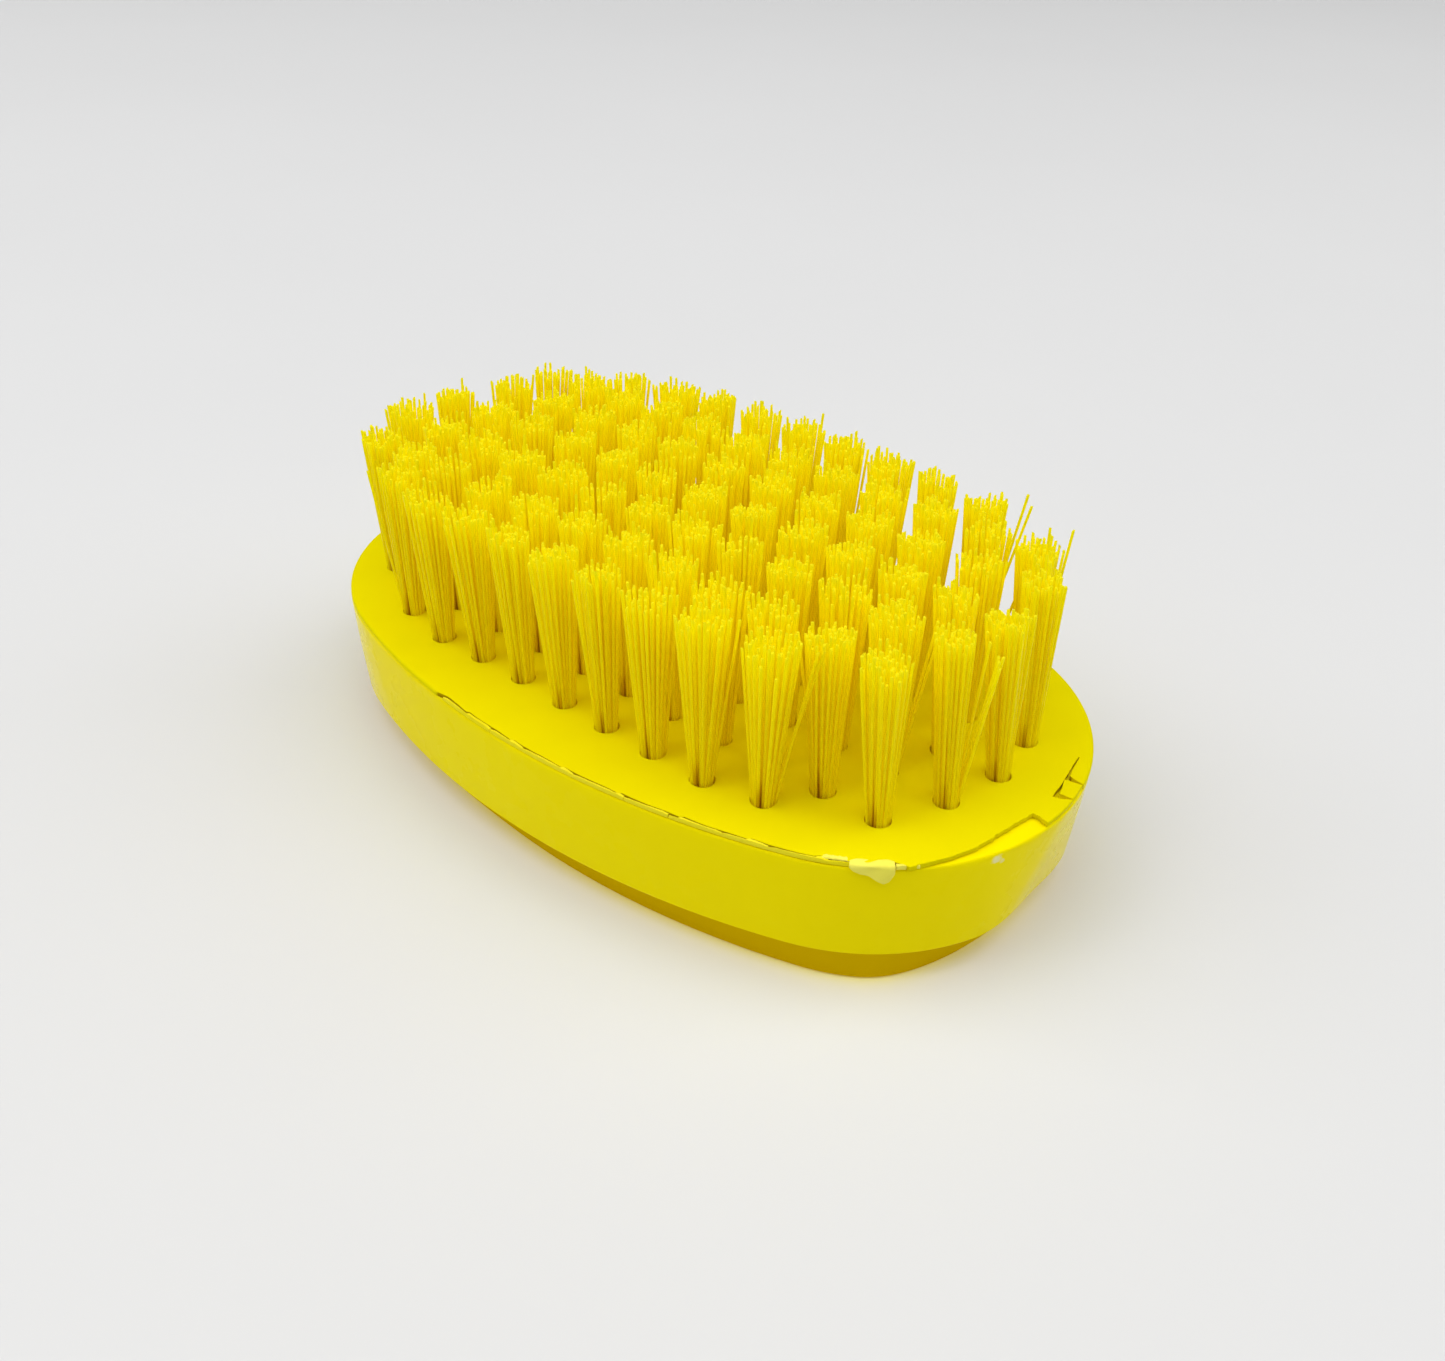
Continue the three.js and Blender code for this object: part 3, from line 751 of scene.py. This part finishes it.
# ------------------------------------------------------------- the joining bead
def strip_solid(s0, s1, step, outer_inset, inner_inset, z0, z1, name, material, nodes, rounding=0.03):
    """A closed strip that follows the oval from s0 to s1."""
    n = max(3, int(round((s1 - s0) / step)))
    s = np.linspace(s0, s1, n + 1)
    p, nn = oval(s)
    oi, ii = outer_inset(s), inner_inset(s)
    lo, hi = z0(s), z1(s)
    mid_z = (lo + hi) / 2
    sections = [
        (oi + rounding, lo), (oi, mid_z), (oi + rounding, hi), (ii, hi), (ii, lo),
    ]
    k = len(sections)
    v = np.zeros((n + 1, k, 3))
    for j, (ins, zz) in enumerate(sections):
        v[:, j, :2] = p - nn * np.asarray(ins)[:, None]
        v[:, j, 2] = zz
    faces = []
    for i in range(n):
        for j in range(k):
            l = (j + 1) % k
            faces.append((i * k + j, (i + 1) * k + j, (i + 1) * k + l, i * k + l))
    faces.append(tuple(range(k))[::-1])
    faces.append(tuple(n * k + j for j in range(k)))
    faces = [f[::-1] for f in faces] if False else faces
    o = add_object(name, v.reshape(-1, 3), faces, material, corner_sharp=45)
    return piece(o, nodes)


def bead_outer(s):
    """Flush with the wall round the back and the left, a fine groove along the front's right half."""
    sm = np.mod(s, PERIMETER)
    groove = smoothstep(S_CRACK0 + 9.0, S_CRACK0 + 13.0, sm) * (1 - smoothstep(PERIMETER - 14.0, PERIMETER - 8.0, sm))
    return -0.012 + 0.17 * groove + 0.012 * wave(sm, 31, 4.0, 2)


strip_solid(
    S_END + 0.3, S_BREAK0 - 0.3, 0.5, bead_outer, lambda s: np.full_like(s, 2.2),
    lambda s: np.full_like(s, RIM_Z + 0.002), lambda s: np.full_like(s, FLANGE_Z - 0.002),
    "joint_bead", bead_mat, ["seam_bead"],
)

# ------------------------------------------------------- flash along the front
flash_rng = np.random.RandomState(8)
s_at = S_CRACK0 + 1.5
index = 0
while s_at < S_CRACK1 - 2.0:
    length = flash_rng.uniform(4.5, 8.0)
    end = min(s_at + length, S_CRACK1 - 0.6)
    seed = 40 + index
    gap0, gap1 = flash_rng.uniform(0.13, 0.20), flash_rng.uniform(0.02, 0.05)
    rise = flash_rng.uniform(0.0, 0.03)

    def inner(s, a=s_at, b=end, g0=gap0, g1=gap1, seed=seed):
        t = (s - a) / (b - a)
        base = crack_inset(s)
        return np.maximum(base - (g0 + (g1 - g0) * t) - 0.02 * np.abs(wave(s, seed, 1.2, 2)), 0.06)

    strip_solid(
        s_at, end, 0.3, lambda s, seed=seed: 0.015 + 0.02 * wave(s, seed + 50, 1.6, 2), inner,
        lambda s: np.full_like(s, FLANGE_Z + 0.03),
        lambda s, a=s_at, b=end, rise=rise, seed=seed: FACE_Z - 0.05 + rise + 0.02 * wave(s, seed + 90, 1.4, 2)
        - 0.1 * (smoothstep(b - 0.8, b, s) + 1 - smoothstep(a, a + 0.8, s)),
        f"edge_flash_{index + 1}", flash_mat, ["seam_bead"], rounding=0.05,
    )
    s_at = end - flash_rng.uniform(-0.15, 0.1)
    index += 1

# a sliver of the flange left between the slot and the rim at the end, and two
# crumbs of pale flash beside the torn tongue
strip_solid(
    S_TONGUE1 + 0.1, S_END - 0.12, 0.25, lambda s: 0.07 + 0.02 * wave(s, 61, 1.5, 2),
    lambda s: 1.5 + 0.34 * smoothstep(S_TONGUE1, S_END, s), lambda s: np.full_like(s, RIM_Z + 0.003),
    lambda s: FACE_Z - 0.06 + 0.015 * wave(s, 62, 1.5, 2), "flange_sliver", plate_mat, ["bristle_plate"], rounding=0.08,
)
for label, (c0, c1), (o0, i0), (low_z, top_z) in (
    ("left", (arc_at(32.3, -21.35), arc_at(34.5, -19.95)), (0.22, 0.66), (FACE_Z - 0.16, FACE_Z + 0.05)),
    ("right", (arc_at(37.9, -17.4), arc_at(39.5, -15.95)), (-0.16, 0.30), (FLANGE_Z + 0.05, FACE_Z - 0.04)),
):
    strip_solid(
        c0, c1, 0.15, lambda s, o0=o0: o0 + 0.06 * wave(s, 63, 0.7, 2), lambda s, i0=i0: i0 + 0.09 * wave(s, 64, 0.6, 2),
        lambda s, z=low_z: np.full_like(s, z), lambda s, z=top_z, a=c0, b=c1: z + 0.03 * wave(s, 65, 0.5, 2)
        - 0.1 * (smoothstep(b - 0.4, b, s) + 1 - smoothstep(a, a + 0.4, s)),
        f"flash_crumb_{label}", tongue_mat, ["seam_bead"], rounding=0.05,
    )

# ---------------------------------------------------- the tongue of thin flash
S_T0, S_T1 = arc_at(34.5, -19.9), arc_at(37.8, -17.5)
TN, TV = 28, 16
t_u = np.linspace(0, 1, TN + 1)
drop = 0.35 + 1.75 * np.interp(t_u, [0, 0.1, 0.25, 0.45, 0.62, 0.78, 0.9, 1.0], [0.02, 0.25, 0.42, 0.5, 0.78, 1.0, 0.85, 0.35])
start_in = np.interp(t_u, [0, 0.15, 0.5, 0.85, 1.0], [0.30, 0.55, 0.62, 0.6, 0.35])
top_pts, low_pts = [], []
for i, u in enumerate(t_u):
    s = S_T0 + (S_T1 - S_T0) * u
    (px, py), (nx, ny) = (q[0] for q in oval([s]))
    for j in range(TV + 1):
        v = j / TV * (start_in[i] + drop[i])
        if v < start_in[i]:
            ins, zz = start_in[i] - v, FACE_Z + 0.03 + 0.05 * math.sin(u * 9 + v * 4)
        else:
            w = v - start_in[i]
            bend = 0.35
            if w < bend:
                ins, zz = -0.10 - 0.22 * math.sin(w / bend * math.pi / 2), FACE_Z + 0.03 - 0.25 * (1 - math.cos(w / bend * math.pi / 2))
            else:
                ins = -0.32 - 0.05 * math.sin(u * 7 + w * 2.2) - 0.05 * (w - bend)
                zz = FACE_Z - 0.22 - (w - bend)
        thick = 0.09 * (1 - 0.6 * j / TV)
        top_pts.append((px - nx * ins, py - ny * ins, zz))
        dn = (0.0, -thick) if v < start_in[i] else (thick, 0.0)
        low_pts.append((px - nx * (ins + dn[0]), py - ny * (ins + dn[0]), zz + dn[1]))
K = TV + 1
tv = np.array(top_pts + low_pts)
off = len(top_pts)
tf = []
for i in range(TN):
    for j in range(TV):
        q = (i * K + j, i * K + j + 1, (i + 1) * K + j + 1, (i + 1) * K + j)
        tf.append(q)
        tf.append(tuple(off + k for k in q[::-1]))
border = [(i * K) for i in range(TN + 1)] + [TN * K + j for j in range(1, K)] + [i * K + TV for i in range(TN - 1, -1, -1)] + [j for j in range(TV - 1, 0, -1)]
for a, b in zip(border, border[1:] + border[:1]):
    tf.append((a, b, off + b, off + a))
tongue = add_object("flash_tongue", tv, tf, tongue_mat, corner_sharp=60)
piece(tongue, ["seam_bead"])

# ------------------------------------------------------------------- the tufts
GAP_DIR = np.array([0.62, -0.78]) / np.hypot(0.62, 0.78)
GAP_N = np.array([0.78, 0.62]) / np.hypot(0.78, 0.62)
SIDES = 7
FIL_R = 0.15


def filament_tubes(paths, tint, cuts, gap_shade):
    """Closed tubes. paths is (n, k, 3) mm; returns verts, faces, and tint, along and painted gap-shade values."""
    n, k, _ = paths.shape
    axis = paths[:, -1] - paths[:, 0]
    axis /= np.linalg.norm(axis, axis=1)[:, None]
    u = np.cross(axis, np.array([0.0, 1.0, 0.0]))
    u /= np.linalg.norm(u, axis=1)[:, None]
    v = np.cross(axis, u)
    a = np.arange(SIDES) * 2 * np.pi / SIDES
    ca, sa = np.cos(a), np.sin(a)
    levels = [(0, 0.94)] + [(i, 1.0) for i in range(1, k)] + [(k - 1, 0.80)]
    radius_i = FIL_R * (1 + 0.05 * cuts[:, 2])
    rings = []
    for li, (i, f) in enumerate(levels):
        c = paths[:, i]
        r = radius_i[:, None] * f
        off = ca[None, :, None] * u[:, None, :] + sa[None, :, None] * v[:, None, :]
        ringp = c[:, None, :] + off * r[..., None]
        if i == k - 1:
            slope = (ca[None, :] * np.cos(cuts[:, 0])[:, None] + sa[None, :] * np.sin(cuts[:, 0])[:, None]) * cuts[:, 1][:, None] * FIL_R * f
            back_off = 0.045 if li == len(levels) - 2 else 0.0
            ringp = ringp + axis[:, None, :] * (slope - back_off)[..., None]
        rings.append(ringp)
    L = len(levels)
    body_v = np.stack(rings, 1)  # n, L, SIDES, 3
    per = L * SIDES + 2
    verts = np.zeros((n, per, 3))
    verts[:, : L * SIDES] = body_v.reshape(n, -1, 3)
    verts[:, -2] = paths[:, 0]
    verts[:, -1] = body_v[:, -1].mean(1)
    quads = []
    for l in range(L - 1):
        for j in range(SIDES):
            q = (j + 1) % SIDES
            quads.append((l * SIDES + j, l * SIDES + q, (l + 1) * SIDES + q, (l + 1) * SIDES + j))
    tris = [(L * SIDES, (j + 1) % SIDES, j) for j in range(SIDES)]
    tris += [(L * SIDES + 1, (L - 1) * SIDES + j, (L - 1) * SIDES + (j + 1) % SIDES) for j in range(SIDES)]
    quads, tris = np.array(quads), np.array(tris)
    base = (np.arange(n) * per)[:, None, None]
    faces = (base + quads[None]).reshape(-1, 4).tolist() + (base + tris[None]).reshape(-1, 3).tolist()
    level_t = np.array([max(0.0, (paths[0, i, 2] - FACE_Z)) / TUFT_H for i, _ in levels])
    along = np.zeros((n, per))
    along[:, : L * SIDES] = np.repeat(level_t, SIDES)[None]
    along[:, (L - 2) * SIDES : L * SIDES] = 1.0
    along[:, -1] = 1.0
    tints = np.repeat(tint[:, None], per, 1)
    # painted shade beside the split, fading out over the lowest fifth of the filament
    gap_shades = gap_shade[:, None] * (1 - smoothstep(0.0, 0.2, along))
    return verts.reshape(-1, 3), faces, {"tint": tints.ravel(), "along": along.ravel(), "gap_shade": gap_shades.ravel()}


def disc_points(rng, n):
    """About n evenly spread points in the unit disc."""
    s = math.sqrt(math.pi / (0.866 * n)) * 1.0
    g = np.arange(-8, 9)
    x, y = np.meshgrid(g, g)
    pts = np.stack([(x + 0.5 * (y % 2)).ravel() * s, (y * 0.866).ravel() * s], -1)
    t = rng.uniform(0, math.pi / 3)
    rot = np.array([[math.cos(t), -math.sin(t)], [math.sin(t), math.cos(t)]])
    pts = pts @ rot.T + rng.uniform(-0.5, 0.5, 2) * s
    pts = pts + rng.normal(0, 0.10 * s, pts.shape)
    rad = np.linalg.norm(pts, axis=1)
    order = np.argsort(rad)
    pts = pts[order[:n]]
    return pts / max(1.0, np.linalg.norm(pts, axis=1).max())


for r, row in enumerate(rows):
    for i, foot_xy in enumerate(row):
        rng = np.random.RandomState(1000 + r * 50 + i)
        key = (r + 1, i + 1)
        n = int(rng.randint(50, 57))
        unit = disc_points(rng, n)
        width = 1.13 * TIP_WIDTH.get(key, rng.uniform(4.1, 4.9))
        tip_r = (width - 2 * FIL_R) / 2 * np.array([1.0, 1.0]) * rng.uniform(0.96, 1.04, 2)
        lean = np.array(LEANS[r][i])
        # across the gap, the foot splits into a third on the left and two thirds on the right
        across, along_gap = unit @ GAP_N, unit @ GAP_DIR
        split = -0.36 + rng.uniform(-0.08, 0.08)
        half_gap = rng.uniform(0.06, 0.11)
        foot_r = 1.11
        side = np.where(across < split, -1.0, 1.0)
        lo_room = (1.0 + split) / 1.0
        squeezed = np.where(
            side < 0,
            -1.0 + (across + 1.0) * (lo_room - half_gap) / lo_room,
            1.0 - (1.0 - across) * ((1.0 - split) - half_gap) / (1.0 - split),
        )
        foot = (squeezed[:, None] * GAP_N + along_gap[:, None] * GAP_DIR) * foot_r
        tip = (across[:, None] * GAP_N * tip_r[0] + along_gap[:, None] * GAP_DIR * tip_r[1])
        # a small gap stays part of the way up
        tip = tip + GAP_N * (side * rng.uniform(0.0, 0.08))[:, None]
        tip = tip + rng.normal(0, 0.045, tip.shape)
        wild = rng.rand(n) < 0.03
        tip = tip + wild[:, None] * rng.normal(0, 0.55, tip.shape)
        height = TUFT_H - 0.25 + rng.normal(0, 0.34, n) + 0.25 * np.sin(unit[:, 0] * 2.2 + rng.uniform(0, 6))
        height = np.clip(height, TUFT_H - 1.5, TUFT_H + 0.75)
        tall = rng.rand(n) < 0.035
        height = height + tall * rng.uniform(0.5, 1.5, n)
        short = rng.rand(n) < 0.04
        height = height - short * rng.uniform(0.6, 1.8, n)
        tip3 = np.column_stack([foot_xy + lean + tip, FACE_Z + height])
        foot3 = np.column_stack([foot_xy + foot, np.full(n, FACE_Z)])
        if key in SPLAYED:
            right_most = np.argsort(-(unit @ GAP_N) + 0.3 * (unit @ GAP_DIR))
            for q, (ex, ey, eh) in zip(right_most, SPLAYED[key]):
                tip3[q] = (ex, ey, FACE_Z + eh)
        levels = np.array([0.0, 0.07, 0.16, 0.3, 0.6, 1.0])
        paths = np.zeros((n, len(levels) + 1, 3))
        bow = rng.normal(0, 0.018, (n, 2))
        for li, t in enumerate(levels):
            q = foot3 + (tip3 - foot3) * t
            q[:, :2] += bow * math.sin(math.pi * t)
            paths[:, li + 1] = q
        root = foot3.copy()
        root[:, :2] = foot_xy + foot * 0.86 - (tip3[:, :2] - foot3[:, :2]) * 0.05
        root[:, 2] = FACE_Z - 3.2
        paths[:, 0] = root
        tint = np.clip(rng.normal(0.5, 0.22, n), 0, 1)
        cuts = np.column_stack([rng.uniform(0, 2 * np.pi, n), rng.uniform(0.0, 0.9, n), rng.normal(0, 1, n)])
        # painted shade: how close each filament stands to the split
        gap_shade_mask = np.exp(-(((across - split) / 0.15) ** 2))
        v, f, attrs = filament_tubes(paths, tint, cuts, 0.6 * gap_shade_mask)
        o = add_object(f"tuft_{r + 1}_{i + 1:02d}", v, f, bristle_mat, attrs=attrs, corner_sharp=60)
        piece(o, [f"tuft_row_{r + 1}"])

# ---------------------------------------------------------------------- stage
FN = 180
fp, fn = oval(np.arange(FN) * PERIMETER / FN)
spans = [-11.0, -8.0, -6.0, -5.0, -4.4, -3.8, -3.3, -2.8, -2.3, -1.7, -1.2, -0.7, -0.3, 0.1, 0.5, 0.9, 1.4, 2.0, 2.7, 3.5, 4.5, 6.0, 9.0, 15.0,
         30.0, 60.0, 150.0, 400.0, 1000.0, 3000.0]
fv = np.vstack([np.column_stack([fp + fn * d, np.zeros(FN)]) for d in spans] + [np.zeros((1, 3))])
ff = [(i * FN + j, (i + 1) * FN + j, (i + 1) * FN + (j + 1) % FN, i * FN + (j + 1) % FN)
      for i in range(len(spans) - 1) for j in range(FN)]
ff += [(len(fv) - 1, j, (j + 1) % FN) for j in range(FN)]
# painted glow: strength of the glow and yellow tint painted on the board, fading out from the body's foot
foot_in = 0.8 + np.interp(np.degrees(np.arctan2(np.abs(fn[:, 1]), fn[:, 0])), RUN_ANGLE, RUN_IN)
painted_floor_glow = np.append(np.concatenate([np.exp(-np.maximum(d + foot_in, 0.0) / 2.2) for d in spans]), 1.0)
floor_mat, nt, bsdf = new_material("floor_board")
floor_glow_node = node(nt, "ShaderNodeAttribute", attribute_name="painted_floor_glow")
tex = node(nt, "ShaderNodeTexCoord")
floor_noise = noise(nt, tex.outputs["Object"], 9.0, 3.0)
board = mix_colour(nt, remap(nt, floor_noise, 0.35, 0.65, 0.0, 1.0), (0.70, 0.70, 0.70), (0.692, 0.692, 0.692))
# painted light: the board is tinted yellow next to the body
board = mix_colour(nt, math_node(nt, "MULTIPLY", math_node(nt, "POWER", floor_glow_node.outputs["Fac"], 3.0), 0.6), board, (0.72, 0.68, 0.15))
nt.links.new(board, bsdf.inputs["Base Color"])
# painted glow: emission standing in for light that the see-through yellow body passes on to the board next to it
nt.links.new(mix_colour(nt, floor_glow_node.outputs["Fac"], (0.0, 0.0, 0.0), (1.0, 0.88, 0.12)), bsdf.inputs["Emission Color"])
bsdf.inputs["Emission Strength"].default_value = 0.20
bsdf.inputs["Roughness"].default_value = 0.75
bsdf.inputs["Specular IOR Level"].default_value = 0.2
floor = add_object("floor", fv, ff, floor_mat, attrs={"painted_floor_glow": painted_floor_glow})
floor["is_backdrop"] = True

world = bpy.data.worlds.new("world")
bpy.context.scene.world = world
world.use_nodes = True
bg = world.node_tree.nodes["Background"]
bg.inputs["Color"].default_value = (0.985, 0.99, 1.0, 1.0)
bg.inputs["Strength"].default_value = 0.13


def area_light(name, location, target, size, power, colour=(1, 1, 1)):
    data = bpy.data.lights.new(name, "AREA")
    data.shape = "RECTANGLE"
    data.size, data.size_y = size
    data.energy = power
    data.color = colour
    o = bpy.data.objects.new(name, data)
    o.location = location
    o.rotation_mode = "QUATERNION"
    o.rotation_quaternion = (Vector(target) - Vector(location)).to_track_quat("-Z", "Y")
    bpy.context.scene.collection.objects.link(o)
    return o


area_light("top_softbox", (0.1, -0.25, 1.4), (0, 0, 0), (1.9, 1.9), 20.5)
area_light("left_softbox", (-0.85, -0.68, 1.05), (0, 0, 0.01), (1.2, 1.2), 8.5)
area_light("right_softbox", (0.85, 0.68, 1.05), (0, 0, 0.01), (1.2, 1.2), 7.5)

scene = bpy.context.scene
scene.view_settings.view_transform = "Standard"
scene.view_settings.look = "None"
scene.view_settings.exposure = 0.0
scene.view_settings.gamma = 1.0
# pale plastic passes light on many times between the filaments
scene.cycles.max_bounces = 24
scene.cycles.diffuse_bounces = 16
scene.cycles.transmission_bounces = 16

low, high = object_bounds()
